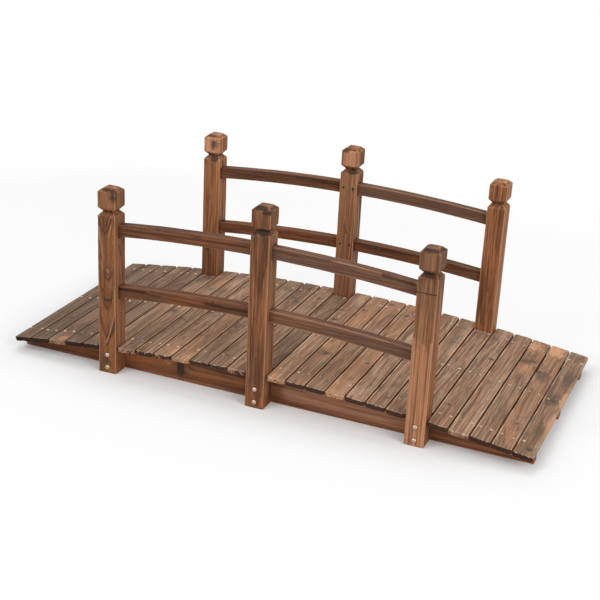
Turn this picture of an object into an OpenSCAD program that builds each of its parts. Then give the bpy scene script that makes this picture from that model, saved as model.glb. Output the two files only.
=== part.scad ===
// Moon bridge: a small arched garden bridge of charred fir.
// Three stringers with flat feet and arched tops lie along the bridge.
// Boards are laid across them, each one tangent to the arch.
// Six posts with carved heads stand against the outer stringers.
// Two arched rails on each side run between the posts, with their ends let into mortises.
// X runs along the bridge, Y across it and Z up.
// The origin is on the ground, under the middle of the bridge.

/* [Bridge] */
// Length of the deck, from end to end
bridge_length = 1500; // [1300:5:1700]
// Width over the outer faces of the posts
bridge_width = 673; // [560:1:800]
// Height of the deck's top at its two ends
deck_end_height = 42; // [36:1:56]
// Height of the deck's top at the middle
deck_mid_height = 98; // [84:1:130]

/* [Deck boards] */
// Boards in the bay between two posts
boards_per_bay = 7; // [5:1:9]
// Boards beyond each end post
boards_beyond = 5; // [3:1:6]
// Thickness of a board
board_thickness = 12.7; // [10:0.1:18]
// Gap between two boards
board_gap = 2.5; // [1:0.1:6]
// Bevel along the top edges of a board
board_bevel = 1.5; // [0.5:0.1:3]
// How far the board ends lie inside the posts' outer faces
board_setback = 2; // [0:0.5:10]
// Clearance between a short board's end and the post beside it
short_board_clearance = 1.5; // [0.5:0.1:4]

/* [Stringers] */
// Thickness of a stringer
stringer_thickness = 25.4; // [18:0.1:38]
// How far a stringer stops short of the deck's end
stringer_setback = 6; // [0:1:30]

/* [Posts] */
// Side of the square posts
post_size = 53; // [44:0.1:60]
// Distance along the bridge from the middle posts to the end posts
post_spacing = 445.5; // [400:0.5:480]
// Height of the middle posts
middle_post_height = 559; // [500:1:640]
// Height of the end posts
end_post_height = 531; // [490:1:610]
// Clearance along the bridge between a post and the full boards beside it
post_board_clearance = 2.9; // [2:0.1:8]

/* [Post heads] */
// Height of the head, from its flat top to the neck
head_height = 53; // [40:0.5:65]
// How far the bevel round the top comes in
head_bevel_inset = 12; // [4:0.5:16]
// How far the bevel round the top comes down
head_bevel_drop = 9.5; // [5:0.5:18]
// Height of the neck's V-shaped cut
neck_height = 23; // [14:0.5:32]
// Depth of the neck's V-shaped cut
neck_depth = 11; // [5:0.5:15]

/* [Rails] */
// Thickness of a rail, across the bridge
rail_thickness = 25.4; // [18:0.1:32]
// Height of a rail's section
rail_height = 33; // [20:0.1:40]
// How far a rail lies inside the posts' outer faces
rail_setback = 18; // [8:0.5:24]
// Height of the upper rail's top at the middle posts
upper_rail_top = 453; // [380:1:465]
// Height of the lower rail's top at the middle posts
lower_rail_top = 278; // [200:1:330]
// Fall of a rail from the middle posts to the end posts
rail_fall = 24.4; // [10:0.1:45]
// Depth to which a rail's end is let into a post
tenon_length = 18; // [10:0.5:20]
// Clearance round a rail's end in its mortise
tenon_clearance = 0.3; // [0.1:0.1:0.6]

/* [Bolt holes] */
// Diameter of the holes through the posts and outer stringers
bolt_hole_diameter = 8; // [5:0.5:12]
// Height of the lower hole
lower_bolt_height = 17; // [12:1:24]
// Height of the upper hole
upper_bolt_height = 54; // [36:1:58]

/* [Hidden] */
// Sides of a full turn, for the wide arcs of the deck and rails
arc_sides = 1440;
// Sides of a full turn, for the bolt holes
hole_sides = 48;
// Length by which a cutting tool runs past a face
cut_margin = 10;

half_length = bridge_length / 2;
half_width = bridge_width / 2;

// The deck's top is an arc through both ends and the middle
deck_rise = deck_mid_height - deck_end_height;
deck_radius = arc_radius(half_length, deck_rise);
stringer_radius = deck_radius - board_thickness;

// Rails are bent to one radius, set by their fall between the posts
rail_radius = arc_radius(post_spacing, rail_fall);
rail_centre_y = half_width - rail_setback - rail_thickness / 2;

// Outer stringers lie against the inner faces of the posts
outer_stringer_y = half_width - post_size - stringer_thickness / 2;
post_centre_y = half_width - post_size / 2;

// Room that a post takes up along the arc, measured from its centre line
station_half = post_size / 2 + post_board_clearance;
post_run = arc_run(post_spacing);
end_run = arc_run(half_length);
bay_pitch = board_pitch(post_run - 2 * station_half, boards_per_bay);
beyond_pitch = board_pitch(end_run - post_run - station_half, boards_beyond);
short_board_width = 2 * (station_half - board_gap);
short_board_length = bridge_width - 2 * (post_size + short_board_clearance);
full_board_length = bridge_width - 2 * board_setback;

middle_board = boards_beyond + boards_per_bay + 2;
board_count = 2 * middle_board - 1;

// Names of the sides, post stations, rail heights and bays, each with its sign or height
SIDES = [["front", -1], ["back", 1]];
STATIONS = [["left", -1], ["middle", 0], ["right", 1]];
LEVELS = [["upper", upper_rail_top], ["lower", lower_rail_top]];
BAYS = [["left", -1], ["right", 1]];

BOARD_NODES = [for (number = [1 : board_count]) board_name(number)];
STRINGER_NODES = ["stringer_front", "stringer_middle", "stringer_back"];
POST_NODES = [for (side = SIDES, station = STATIONS) post_name(side, station)];
RAIL_NODES = [for (side = SIDES, level = LEVELS, bay = BAYS) rail_name(side, level, bay)];

function two_digits(number) = number < 10 ? str("0", number) : str(number);
function board_name(number) = str("deck_board_", two_digits(number));
function post_name(side, station) = str("post_", side[0], "_", station[0]);
function rail_name(side, level, bay) = str("rail_", side[0], "_", level[0], "_", bay[0]);

// Radius of an arc that rises by rise over half_chord
function arc_radius(half_chord, rise) = (half_chord * half_chord + rise * rise) / (2 * rise);

// Length along the deck's arc from the middle out to the distance x
function arc_run(x) = deck_radius * asin(x / deck_radius) * PI / 180;
function run_angle(run) = run / deck_radius * 180 / PI;

// Boards share a run equally, with one gap fewer than there are boards
function board_pitch(run, count) = (run + board_gap) / count;

// Boards are counted outward from the middle one: step 0 and the end post's step are short boards
post_step = boards_per_bay + 1;
function board_step(number) = abs(number - middle_board);
function is_short(step) = step == 0 || step == post_step;
function step_width(step) =
    is_short(step) ? short_board_width
    : step < post_step ? bay_pitch - board_gap
    : beyond_pitch - board_gap;
function step_run(step) =
    step == 0 ? 0
    : step == post_step ? post_run
    : step < post_step ? station_half + (step - 1) * bay_pitch + step_width(step) / 2
    : post_run + station_half + (step - post_step - 1) * beyond_pitch + step_width(step) / 2;

function post_height(station) = station[1] == 0 ? middle_post_height : end_post_height;

// Half of the post's outline, from the foot up to the flat top
function post_half_outline(height) = [
    [post_size / 2, 0],
    [post_size / 2, height - head_height - neck_height],
    [post_size / 2 - neck_depth, height - head_height - neck_height / 2],
    [post_size / 2, height - head_height],
    [post_size / 2, height - head_bevel_drop],
    [post_size / 2 - head_bevel_inset, height],
];

// Turns a flat outline into a bar along Y, with the outline's second axis upward
module bar_along_y(length) {
    rotate([90, 0, 0])
        linear_extrude(height = length, center = true)
            children();
}

// A disc that stands on edge, with its top at the given height over the middle of the bridge
module standing_disc(radius, top, thickness) {
    translate([0, 0, top - radius])
        rotate([90, 0, 0])
            cylinder(r = radius, h = thickness, center = true, $fn = arc_sides);
}

module board_outline(width) {
    edge = width / 2;
    polygon([
        [-edge, -board_thickness],
        [edge, -board_thickness],
        [edge, -board_bevel],
        [edge - board_bevel, 0],
        [board_bevel - edge, 0],
        [-edge, -board_bevel],
    ]);
}

// A board lies on the arc with its own middle, and so tips with the arch
module deck_board(number) {
    step = board_step(number);
    turn = sign(number - middle_board) * run_angle(step_run(step));
    length = is_short(step) ? short_board_length : full_board_length;
    color("rosybrown")
        translate([0, 0, deck_mid_height - deck_radius])
            rotate([0, turn, 0])
                translate([0, 0, deck_radius])
                    bar_along_y(length)
                        board_outline(step_width(step));
}

// A stringer before drilling: flat foot, plumb ends and the arch that the boards lie on
module stringer_blank() {
    top = deck_mid_height - board_thickness;
    length = bridge_length - 2 * stringer_setback;
    intersection() {
        standing_disc(stringer_radius, top, stringer_thickness);
        translate([-length / 2, -stringer_thickness / 2, 0])
            cube([length, stringer_thickness, top + cut_margin]);
    }
}

// Both bolt holes of one post, run right through it and the stringer behind it
module bolt_holes(side) {
    depth = post_size + stringer_thickness + 2 * cut_margin;
    for (height = [lower_bolt_height, upper_bolt_height])
        translate([0, side * (half_width + cut_margin - depth / 2), height])
            rotate([90, 0, 0])
                cylinder(d = bolt_hole_diameter, h = depth, center = true, $fn = hole_sides);
}

module outer_stringer(side) {
    color("saddlebrown")
        difference() {
            translate([0, side * outer_stringer_y, 0])
                stringer_blank();
            for (station = STATIONS)
                translate([station[1] * post_spacing, 0, 0])
                    bolt_holes(side);
        }
}

module middle_stringer() {
    color("saddlebrown")
        stringer_blank();
}

// One bay of rail, or with a clearance the mortises that its two ends sit in
module rail_stock(side, level, bay, clearance = 0) {
    inner_end = post_size / 2 - tenon_length - clearance;
    outer_end = post_spacing - inner_end;
    run = outer_end - inner_end;
    thickness = rail_thickness + 2 * clearance;
    bottom_radius = rail_radius - rail_height - clearance;
    translate([0, side * rail_centre_y, 0])
        intersection() {
            difference() {
                standing_disc(rail_radius + clearance, level + clearance, thickness);
                standing_disc(bottom_radius, level - rail_height - clearance, thickness + cut_margin);
            }
            translate([bay * (inner_end + run / 2), 0, level - rail_fall])
                cube([run, thickness + cut_margin, 4 * (rail_fall + rail_height)], center = true);
        }
}

module rail(side, level, bay) {
    color("sienna")
        rail_stock(side, level, bay);
}

// A post before mortising: one outline cut from two sides, so that neck and bevel run all round
module post_blank(height) {
    right = post_half_outline(height);
    left = [for (i = [len(right) - 1 : -1 : 0]) [-right[i][0], right[i][1]]];
    outline = concat(right, left);
    intersection() {
        bar_along_y(post_size)
            polygon(outline);
        rotate([0, 0, 90])
            bar_along_y(post_size)
                polygon(outline);
    }
}

module post(side, station) {
    color("peru")
        difference() {
            translate([station[1] * post_spacing, side * post_centre_y, 0])
                post_blank(post_height(station));
            translate([station[1] * post_spacing, 0, 0])
                bolt_holes(side);
            for (level = LEVELS, bay = BAYS)
                if (station[1] == 0 || station[1] == bay[1])
                    rail_stock(side, level[1], bay[1], tenon_clearance);
        }
}

for (number = [1 : board_count])
    deck_board(number);

outer_stringer(-1);  // stringer_front
middle_stringer();  // stringer_middle
outer_stringer(1);  // stringer_back

for (side = SIDES, station = STATIONS)
    post(side[1], station);

for (side = SIDES, level = LEVELS, bay = BAYS)
    rail(side[1], level[1], bay[1]);
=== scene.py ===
"""Dresses the moon bridge in charred and brushed fir, with its screws, bolts and torn board ends."""
import itertools
import math
import random

import bpy
import numpy as np
from mathutils import Matrix, Vector


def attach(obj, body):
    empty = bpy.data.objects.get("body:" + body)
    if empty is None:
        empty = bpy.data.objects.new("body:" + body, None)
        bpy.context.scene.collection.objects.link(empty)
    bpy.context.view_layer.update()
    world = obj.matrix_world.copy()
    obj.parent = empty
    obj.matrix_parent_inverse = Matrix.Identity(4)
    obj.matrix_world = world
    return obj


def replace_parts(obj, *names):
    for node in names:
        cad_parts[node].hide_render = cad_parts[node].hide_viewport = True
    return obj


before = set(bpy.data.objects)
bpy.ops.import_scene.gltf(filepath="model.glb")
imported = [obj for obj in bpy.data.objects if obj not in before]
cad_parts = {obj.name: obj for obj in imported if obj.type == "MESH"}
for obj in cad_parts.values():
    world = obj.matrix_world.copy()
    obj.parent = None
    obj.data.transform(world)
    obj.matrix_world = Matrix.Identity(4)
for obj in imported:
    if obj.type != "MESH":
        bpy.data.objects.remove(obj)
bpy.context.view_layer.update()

# Sizes of the bridge in metres, as the part has them
HALF_LENGTH = 0.75
HALF_WIDTH = 0.3365
DECK_END_HEIGHT = 0.042
DECK_MID_HEIGHT = 0.098
BOARDS_PER_BAY = 7
BOARDS_BEYOND = 5
BOARD_THICKNESS = 0.0127
BOARD_GAP = 0.0025
BOARD_SETBACK = 0.002
SHORT_BOARD_CLEARANCE = 0.0015
STRINGER_THICKNESS = 0.0254
STRINGER_SETBACK = 0.006
POST_SIZE = 0.053
POST_SPACING = 0.4455
POST_BOARD_CLEARANCE = 0.0029
POST_HEIGHTS = {"left": 0.531, "middle": 0.559, "right": 0.531}
HEAD_HEIGHT = 0.053
HEAD_BEVEL_INSET = 0.012
HEAD_BEVEL_DROP = 0.0095
NECK_HEIGHT = 0.023
NECK_DEPTH = 0.011
RAIL_THICKNESS = 0.0254
RAIL_HEIGHT = 0.033
RAIL_SETBACK = 0.018
RAIL_TOPS = {"upper": 0.453, "lower": 0.278}
RAIL_FALL = 0.0244
TENON_LENGTH = 0.018
BOLT_HEIGHTS = (0.017, 0.054)

SIDES = {"front": -1, "back": 1}
STATIONS = {"left": -1, "middle": 0, "right": 1}
STRINGER_ROWS = {"front": -1, "middle": 0, "back": 1}

# The photograph's viewpoint, found by fitting a camera to the bridge's corners in it
CAMERA_AIM = (-0.0107, -0.0208, 0.1930)
CAMERA_DISTANCE = 3.693
CAMERA_AZIMUTH = 21.93
CAMERA_ELEVATION = 22.47
CAMERA_ROLL = 2.97
CAMERA_LENS = 79.09


def arc_radius(half_chord, rise):
    """Radius of an arc that rises by rise over half_chord."""
    return (half_chord**2 + rise**2) / (2 * rise)


def arc_height(radius, top, x):
    """Height at x of an arc whose highest point is top, over the middle of the bridge."""
    return top - radius + math.sqrt(radius**2 - x**2)


DECK_RADIUS = arc_radius(HALF_LENGTH, DECK_MID_HEIGHT - DECK_END_HEIGHT)
RAIL_RADIUS = arc_radius(POST_SPACING, RAIL_FALL)
POST_HALF = POST_SIZE / 2
STRINGER_Y = HALF_WIDTH - POST_SIZE - STRINGER_THICKNESS / 2

# Random but repeatable numbers, from whole numbers multiplied by large odd ones
PLACE_FACTORS = np.array([73856093, 19349663, 83492791])
SEED_FACTOR = 668265263
MIX_FACTOR = 1274126177


def hashed(cells, seed):
    """A number from -1 to 1 for each row of whole numbers."""
    key = cells @ PLACE_FACTORS + seed * SEED_FACTOR
    key = (key ^ (key >> 13)) * MIX_FACTOR
    key = (key ^ (key >> 16)) & 0xFFFF
    return key / 32767.5 - 1


def ramp(value, low, high):
    """0 below low, 1 above high and a smooth rise between."""
    part = np.clip((value - low) / (high - low), 0, 1)
    return part * part * (3 - 2 * part)


def near_edge(place, size, reach, full=0):
    """1 within full of either edge of a size, and a smooth rise from 0 at reach from it."""
    return ramp(np.abs(place), size / 2 - reach, size / 2 - full)


def noise(points, seed):
    """Smooth noise from -1 to 1 at each row of points."""
    cells = np.floor(points).astype(np.int64)
    part = ramp(points - cells, 0, 1)
    total = np.zeros(len(points))
    for corner in itertools.product((0, 1), repeat=3):
        weight = np.prod(np.where(corner, part, 1 - part), axis=1)
        total += weight * hashed(cells + corner, seed)
    return total


# Bars with eased arrises, from which boards, stringers, posts and rails are made
ROUNDING = 0.41  # place of the middle step of a rounded arris, between the flat at 0 and the arris at 1
WEAR_SWELLS = 45  # swells a metre of the wear along an arris
MOST_ROUNDING = 0.6  # of a bar's half size
MOST_FROM_ARRIS = 0.05
EASED_ANGLES = np.radians([90, 60, 30, 0])


def side_places(count, support):
    """Places across one side of a bar: how far out on the flat, and how far round the arris."""
    flat = np.sort(np.append(np.linspace(-1, 1, count), [support - 1, 1 - support]))
    core = np.concatenate([[-1, -1], flat, [1, 1]])
    turn = np.concatenate([[-1, -ROUNDING], np.zeros(len(flat)), [ROUNDING, 1]])
    return core, turn


def box_shell(counts):
    """Whole-number places on the six sides of a block of points, and the quads that join them."""
    inside = np.zeros(counts, bool)
    inside[1:-1, 1:-1, 1:-1] = True
    numbers = np.full(counts, -1)
    numbers[~inside] = np.arange((~inside).sum())
    quads = []
    for axis, end in itertools.product(range(3), (0, -1)):
        side = np.take(numbers, end, axis=axis)
        ring = [side[:-1, :-1], side[1:, :-1], side[1:, 1:], side[:-1, 1:]]
        quad = np.stack(ring, axis=-1).reshape(-1, 4)
        backward = (end == 0) != (axis == 1)
        quads.append(quad[:, ::-1] if backward else quad)
    return np.argwhere(~inside), np.concatenate(quads)


def bar_stations(low, high, ease, places, section):
    """A bar's stations with eased ends, as section gives them from a place and how far the sides come in."""
    start = [(ease * (1 - math.sin(angle)), ease * (1 - math.cos(angle))) for angle in EASED_ANGLES]
    rows = [(low + along, drawn) for along, drawn in start]
    rows += [(along, 0) for along in places]
    rows += [(high - along, drawn) for along, drawn in reversed(start)]
    return [(along, *section(along, drawn)) for along, drawn in rows]


class Bar:
    """A bar along w, of u by v. A station is w, both half sizes, both centres and the rounding."""

    def __init__(self, stations, across, deep, seed, wear=0.45):
        self.stations = np.array(stations, float)
        self.seed = seed
        (core_u, turn_u), (core_v, turn_v) = side_places(*across), side_places(*deep)
        places, self.quads = box_shell((len(core_u), len(core_v), len(self.stations)))
        i, j, k = places.T
        core = np.stack([core_u[i], core_v[j]], 1)
        turn = np.stack([turn_u[i], turn_v[j]], 1)
        on_side = np.abs(turn).max(1) == 1
        turn /= np.where(on_side, np.linalg.norm(turn, axis=1), 1)[:, None]
        w, half_u, half_v, centre_u, centre_v, rounding = self.stations[k].T
        corner = np.column_stack([np.sign(turn) * (5, 3), w * WEAR_SWELLS])
        uneven = 1 + wear * (noise(corner, seed) + np.clip(noise(corner * 2.3, seed + 1), 0, 1) ** 2)
        rounding = np.minimum(rounding * uneven, MOST_ROUNDING * np.minimum(half_u, half_v))[:, None]
        half = np.stack([half_u, half_v], 1) - rounding
        section = core * half + turn * rounding + np.stack([centre_u, centre_v], 1)
        self.points = np.column_stack([section, w])
        self.planned = self.points.copy()
        self.outward = np.column_stack([turn * on_side[:, None], np.zeros(len(turn))])

    def sway(self, amount, scale):
        """Moves the long sides in and out a little, as sawn and brushed wood does."""
        stretched = self.points * np.array([scale, scale, scale / 4])
        self.points += self.outward * (amount * noise(stretched, self.seed + 2))[:, None]

    def from_arris(self, points):
        """Each point's distance from the nearest long arris."""
        u, v, w = points.T
        along, *columns = self.stations.T[:5]
        half_u, half_v, centre_u, centre_v = (np.interp(w, along, column) for column in columns)
        distance = np.maximum(half_u - np.abs(u - centre_u), half_v - np.abs(v - centre_v))
        return np.clip(distance, 0, MOST_FROM_ARRIS)


KNOT_REACH = 7  # past this many of its radii a knot has no effect
NO_KNOT = (0, 0, 30)


def knot_offsets(points, knots):
    """Offset of each point from the nearest knot's axis, in radii of that knot, and a far value elsewhere."""
    best = np.full(len(points), float(KNOT_REACH))
    offsets = np.tile(np.array(NO_KNOT, float), (len(points), 1))
    for axis, centre, radii in knots:
        offset = (points - np.array(centre)) / np.array(radii)
        offset[:, axis] = 0
        length = np.linalg.norm(offset, axis=1)
        nearer = length < best
        best[nearer] = length[nearer]
        offsets[nearer] = offset[nearer]
    return offsets


def through_knots(spots, wide, long):
    """Knots that run through a bar along v, from places across and along and sizes in millimetres."""
    return [(1, (u / 1000, 0, w / 1000), (wide * size / 1000, 1, long * size / 1000)) for u, w, size in spots]


# Marks: dark, pale and red wood
# The dark and pale kinds also carry painted shade and painted highlight, as the posts and boards lay them
# down
KINDS = ("dark", "pale", "fire")
# A face's normal, which way that points, and the two axes that places on it are given along
FACES = {"front": (1, -1, 0, 2), "right": (0, 1, 1, 2), "side": (0, -1, 2, 1)}
STROKE_REACH = (0.005, 0.002)  # below a face, where its lines begin to show and are whole
# Lines on each piece's faces: width, strength and the places that a line goes through, in millimetres
STROKES = {
    "post_front_left": {
        "dark front": (
            (18, 0.4, -4, 454, -3, 428), (3.2, 0.95, -23, 453, -15, 427, -3, 405, 7, 425, 15, 452),
            (2.4, 0.9, -15, 455, -3, 424, 8, 455), (2.4, 0.7, -9, 455, -2, 440, 4, 455),
            (2.8, 0.7, -22, 386, -15, 342, -8, 303, -8, 219), (7.8, 0.3, -1, 396, 1, 328),
            (3.6, 0.6, -6, 298, -3, 284, 4, 275, 12, 287, 13, 302),
            (4.6, 1.4, -8, 214, -4, 221, 0, 214, 5, 219, 11, 217, 16, 227), (3, 0.5, 16, 227, 21, 263),
            (3.4, 0.9, 23, 155, 18, 136, 11, 113, -2, 80), (7.2, 0.8, -1, 47, -1, 32),
        ),
        "pale front": (
            (5, 0.75, -24, 425, -19, 387, -13, 348, -12, 308), (4.8, 0.6, 7, 397, 14, 432),
            (7, 0.7, 3, 305, 5, 299), (3.6, 0.75, 22, 263, 24, 223, 23, 184, 17, 154, 9, 125, -2, 90),
            (2.4, 0.5, -23, 213, -24, 33), (60, 0.3, 0, 515, 0, 484),
        ),
        "fire front": ((9, 0.6, -8, 12, 17, 9),),
        "fire right": ((10, 0.6, -8, 228, -6, 91), (7, 0.5, -14, 391, -12, 265)),
        "dark right": (
            (2.6, 0.6, 8, 216, 5, 93), (9, 0.55, -6, 372, 4, 343), (7, 0.75, 14, 319, 12, 268),
            (3, 0.5, -21, 455, -20, 404),
        ),
        # The wide pale wash on this right face is painted light on the lit side
        "pale right": ((3, 0.4, -18, 264, -17, 86), (60, 0.3, 0, 515, 0, 60)),
    },
    "post_front_middle": {
        "dark front": (
            (40, 0.25, 0, 545, 0, 510), (3, 0.8, -17, 448, -16, 448), (3, 0.8, 20, 447, 21, 447),
            (2.4, 0.5, -20, 410, -17, 236, -12, 79), (4, 0.45, -10, 294, -9, 181, -5, 81),
            (9, 0.55, 0, 146, 1, 71), (14, 0.45, 14, 44, 10, 11), (7, 0.35, 11, 273, 14, 234),
            (3.2, 0.65, 9, 475, 17, 447), (7, 0.5, 13, 392, 13, 372), (4, 0.55, 10, 356, 10, 317),
        ),
        # The wide pale wash on this right face is painted light on the lit side
        "pale right": ((90, 0.35, 0, 480, 0, 60),),
        "pale front": (
            (2.7, 0.55, -26, 409, -23, 305, -20, 182, -17, 84), (3, 0.6, 25, 259, 26, 180, 25, 103),
        ),
        "fire front": ((4, 0.6, 23, 402, 24, 315, 25, 217), (9, 0.8, 20, 30, 22, 10)),
        "fire right": ((7, 0.5, -16, 345, -8, 100),),
        "dark right": (
            (4, 0.6, 10, 440, 14, 301), (9, 0.8, 15, 59, 16, 11), (6, 0.7, 12, 200, 17, 137, 16, 111),
        ),
    },
    "post_front_right": {
        "dark front": ((2.2, 1.2, -26, 418, -10, 419, 5, 417, 23, 417),),
        "pale front": (
            (90, 0.25, 0, 430, 0, 230), (13, 0.55, -21, 292, -20, 2), (12, 0.45, -10, 268, -11, 2),
            (14, 0.55, 1, 281, 0, 2), (11, 0.5, 12, 262, 11, 2), (10, 0.6, 22, 288, 21, 2),
            (60, 0.35, 0, 515, 0, 482),
        ),
        "fire front": ((16, 0.5, 6, 275, 8, 2),),
        "pale right": ((8, 0.5, -1, 424, 20, 269),),
    },
    "post_back_left": {
        "fire front": ((7, 0.6, -21, 435, -18, 232), (9, 0.9, -21, 513, -18, 479)),
        "dark front": ((7, 0.5, 1, 444, 1, 374), (3, 0.5, -10, 340, -9, 233), (20, 0.45, -4, 165, 2, 80)),
        "pale front": ((60, 0.9, 0, 518, 0, 486),),
        "pale right": ((7, 0.5, -16, 440, -10, 277), (10, 0.45, -10, 515, -8, 482)),
    },
    "post_back_middle": {
        "pale front": ((60, 0.7, 0, 546, 0, 514), (90, 0.3, 0, 470, 0, 110)),
        "dark front": ((9, 0.5, 19, 437, 16, 428), (10, 0.45, -5, 324, 3, 301)),
        "pale right": ((6.6, 0.6, -2, 416, 20, 240),),
    },
    "post_back_right": {
        "dark front": (
            (3, 0.8, -4, 229, 2, 205, -7, 207), (2.6, 0.45, -4, 176, -2, 98), (16, 0.4, -8, 155, -6, 100),
        ),
        "pale right": ((5, 0.7, -16, 225, -9, 97),),
    },
    "stringer_front": {
        "dark side": (
            (24, 1.4, -247, 82, -246, 24), (10, 0.5, -225, 52, -205, 40), (12, 0.3, 40, 66, 90, 56),
            (10, 0.3, 230, 62, 330, 52),
        ),
        "pale side": ((5, 1.3, -292, 50, -283, 44, -272, 49), (70, 0.45, 80, 40, 390, 36)),
        "fire side": ((40, 0.8, -410, 40, -290, 50), (14, 0.6, -215, 30, -60, 36)),
    },
    "rail_front_upper_left": {
        "dark side": (
            (9, 0.6, -411, 417, -354, 424, -280, 427, -177, 434, -41, 440), (6, 0.8, -304, 439, -298, 439),
            (2.7, 0.4, -411, 430, -236, 447, -41, 460),
        ),
        "fire side": ((6, 0.45, -250, 419, -160, 426),),
    },
    "rail_front_lower_left": {
        "dark side": (
            (12, 0.8, -420, 250, -340, 254), (5, 0.8, -319, 262, -316, 262),
            (5.4, 0.8, -138, 269, -135, 269), (16, 0.65, -156, 260, -101, 260, -37, 262),
        ),
        "fire side": ((10, 0.5, -290, 253, -218, 256, -174, 258),),
    },
    "rail_front_upper_right": {
        "dark side": (
            (12, 0.45, 30, 444, 103, 445, 184, 446), (14, 0.75, 325, 436, 364, 433, 405, 428),
            (3.6, 0.5, 103, 434, 224, 433, 311, 428),
        ),
        "pale side": ((4.8, 0.35, 204, 447, 242, 446, 289, 443),),
    },
    "rail_front_lower_right": {
        "dark side": ((9, 0.45, 30, 265, 112, 265),),
        "fire side": ((8, 0.4, 30, 262, 112, 264),),
    },
}


def raise_layer(layers, kind, amount):
    """Brings one kind of mark up to an amount where it is below that."""
    column = layers[:, KINDS.index(kind)]
    np.maximum(column, amount, out=column)


def stroked(points, half, name):
    """The marks that are drawn as lines on a piece."""
    layers = np.zeros((len(points), 3))
    for key, lines in STROKES.get(name, {}).items():
        kind, face = key.split()
        normal, sign, first, second = FACES[face]
        flat = 1000 * points[:, [first, second]]
        on_face = near_edge(np.maximum(sign * points[:, normal], 0), 2 * half, *STROKE_REACH)
        for width, strength, *numbers in lines:
            corners = np.reshape(numbers, (-1, 2))
            distance = np.full(len(points), 1000.0)
            for start, finish in zip(corners, corners[1:]):
                along = finish - start
                part = np.clip((flat - start) @ along / (along @ along), 0, 1)
                distance = np.minimum(distance, np.linalg.norm(flat - start - part[:, None] * along, axis=1))
            drawn = 1 - ramp(distance, 0.15 * width, 0.55 * width + 0.9)
            raise_layer(layers, kind, strength * on_face * drawn)
    return layers


def add_patch(layers, points, kind, centre, radii, strength):
    """Marks the wood round a place, with its radii, in millimetres, and a ragged edge."""
    distance = np.linalg.norm((1000 * points - centre) / radii, axis=1)
    distance += 0.3 * noise(points * 120, 61) + 0.15 * noise(points * 350, 62)
    raise_layer(layers, kind, strength * (1 - ramp(distance, 0.1, 1.5)))


SHARP_ANGLE = math.radians(42)


def smoothed(mesh):
    """The mesh, smooth but for its sharp edges."""
    mesh.shade_smooth()
    mesh.set_sharp_from_angle(angle=SHARP_ANGLE)
    return mesh


def new_mesh(name, points, faces):
    """A smoothed mesh of the given points and faces."""
    mesh = bpy.data.meshes.new(name)
    mesh.from_pydata(points.tolist(), [], [list(map(int, face)) for face in faces])
    return smoothed(mesh)


def mesh_points(mesh):
    """A mesh's points as rows."""
    points = np.empty(len(mesh.vertices) * 3)
    mesh.vertices.foreach_get("co", points)
    return points.reshape(-1, 3)


def add_layer(mesh, name, *columns):
    """Stores one vector for each point of the mesh, for the materials to read."""
    values = np.stack(np.broadcast_arrays(*columns), 1)
    layer = mesh.attributes.new(name, "FLOAT_VECTOR", "POINT")
    layer.data.foreach_set("vector", values.astype(np.float32).ravel())


def new_object(name, data):
    """An object in the scene."""
    made = bpy.data.objects.new(name, data)
    bpy.context.collection.objects.link(made)
    return made


def new_piece(name, mesh, material):
    """Puts a mesh in the scene as a piece that rides on the bridge."""
    piece = new_object(name, mesh)
    mesh.materials.clear()
    mesh.materials.append(material)
    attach(piece, "root")
    return piece


def add_wood(name, node, material, bar, place, wood, mesh=None):
    """A piece of wood that stands for a node, with its layers stored in the bar's own axes."""
    mesh = mesh or new_mesh(name, bar.points, bar.quads)
    points = mesh_points(mesh)
    planned = bar.planned if len(points) == len(bar.planned) else points
    u, v, w = points.T
    pith_u, pith_v, lean_u, lean_v = wood["pith"]
    light, warm = (np.interp(w, bar.stations[[0, -1], 0], wood[tone]) for tone in ("light", "warm"))
    add_layer(mesh, "grain", u - pith_u - lean_u * w, v - pith_v - lean_v * w, w)
    add_layer(mesh, "knot", *knot_offsets(points, wood["knots"]).T)
    # The char in this layer also holds painted shade: deep in the posts, and on the boards' sides in the gaps
    add_layer(mesh, "state", bar.from_arris(planned), wood["char"], 0)
    add_layer(mesh, "marks", *wood["marks"].T)
    add_layer(mesh, "tone", light, warm, wood["seed"])
    mesh.transform(place)
    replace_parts(new_piece(name, mesh, material), node)


# Materials


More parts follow.
